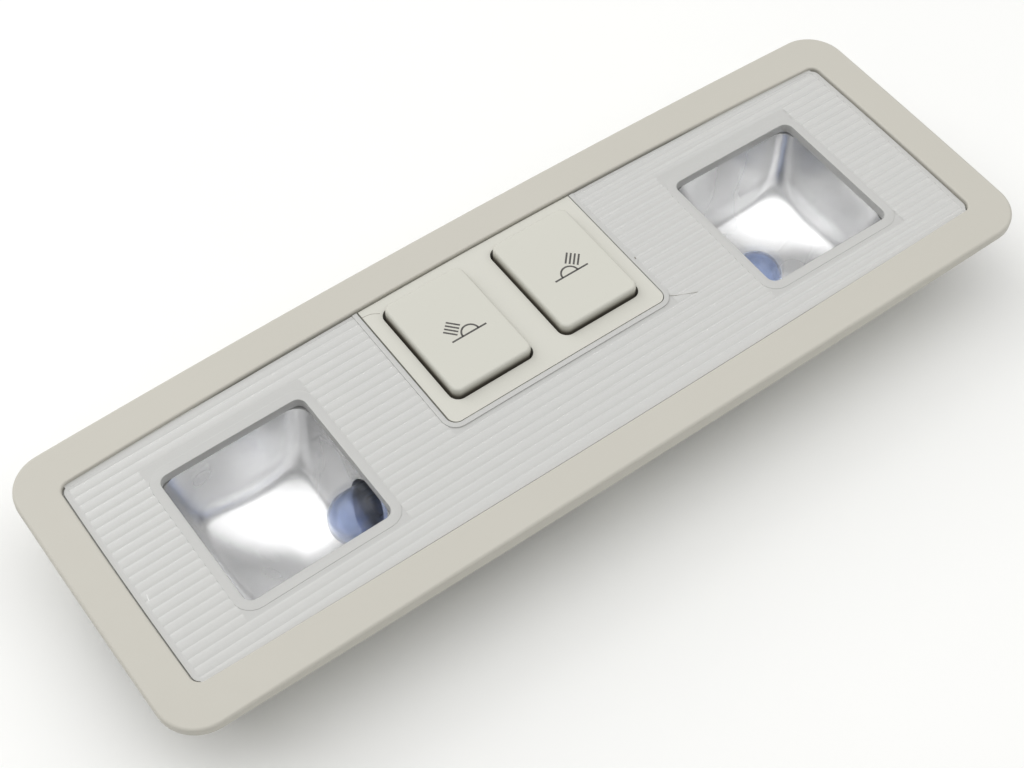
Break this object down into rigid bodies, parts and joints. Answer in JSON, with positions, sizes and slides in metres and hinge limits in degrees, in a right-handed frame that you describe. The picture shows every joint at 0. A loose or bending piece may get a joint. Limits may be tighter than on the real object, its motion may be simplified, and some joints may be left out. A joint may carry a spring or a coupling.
{
  "type": "car interior light",
  "caption": "Flat rectangular car ceiling light: crowned plastic bezel, ribbed frosted lens with clear reading-lamp windows, sprung push buttons and a shallow rear housing.",
  "frame": {"origin": "under the middle of the light, on the surface that it lies on, face up", "axes": "+Z out of the lit face, X along the light, +Y towards the switch panel's edge"},
  "size_m": [0.185, 0.0616, 0.0235],
  "materials": {
    "bezel_plastic": "fine-grained warm grey moulding",
    "panel_plastic": "fine-grained warm grey moulding",
    "button_plastic": "satin warm grey moulding with a dark printed lamp sign",
    "lens_plastic": "frosted, ribbed, with two clear windows",
    "housing_plastic": "plain moulded",
    "holder_plastic": "heat-resistant white moulding",
    "reflector_mirror": "vacuum-metallised, slightly satin",
    "bulb_glass": "blue-tinted glass",
    "contact_brass": "stamped sheet",
    "spring_steel": "bright spring steel",
    "zinc_steel": "zinc-plated"
  },
  "bodies": {
    "light_body": {"bezel": "bezel_plastic", "lens": "lens_plastic", "switch_panel": "panel_plastic", "housing": "housing_plastic", "supply_strip": "contact_brass", "ground_strip": "contact_brass", "housing_screws": "zinc_steel", "button_spring_left": "spring_steel", "button_spring_right": "spring_steel", "lamp_strip_left": "contact_brass", "lamp_strip_right": "contact_brass", "reading_bulb_left": "bulb_glass", "reading_bulb_right": "bulb_glass", "bulb_holder_left": "holder_plastic", "bulb_holder_right": "holder_plastic", "reflector_left": "reflector_mirror", "reflector_right": "reflector_mirror", "retaining_spring_left": "spring_steel", "retaining_spring_right": "spring_steel"},
    "button_left": {"button_left": "button_plastic", "contact_bridge_left": "contact_brass"},
    "button_right": {"button_right": "button_plastic", "contact_bridge_right": "contact_brass"}
  },
  "joints": [
    {"name": "button_left_press", "type": "slide", "parent": "light_body", "child": "button_left", "axis": [0, 0, -1], "range_m": [0, 0.002], "stiffness_N_per_m": 800, "springref_m": -0.002, "deforming": ["button_spring_left"]},
    {"name": "button_right_press", "type": "slide", "parent": "light_body", "child": "button_right", "axis": [0, 0, -1], "range_m": [0, 0.002], "stiffness_N_per_m": 800, "springref_m": -0.002, "deforming": ["button_spring_right"]}
  ]
}
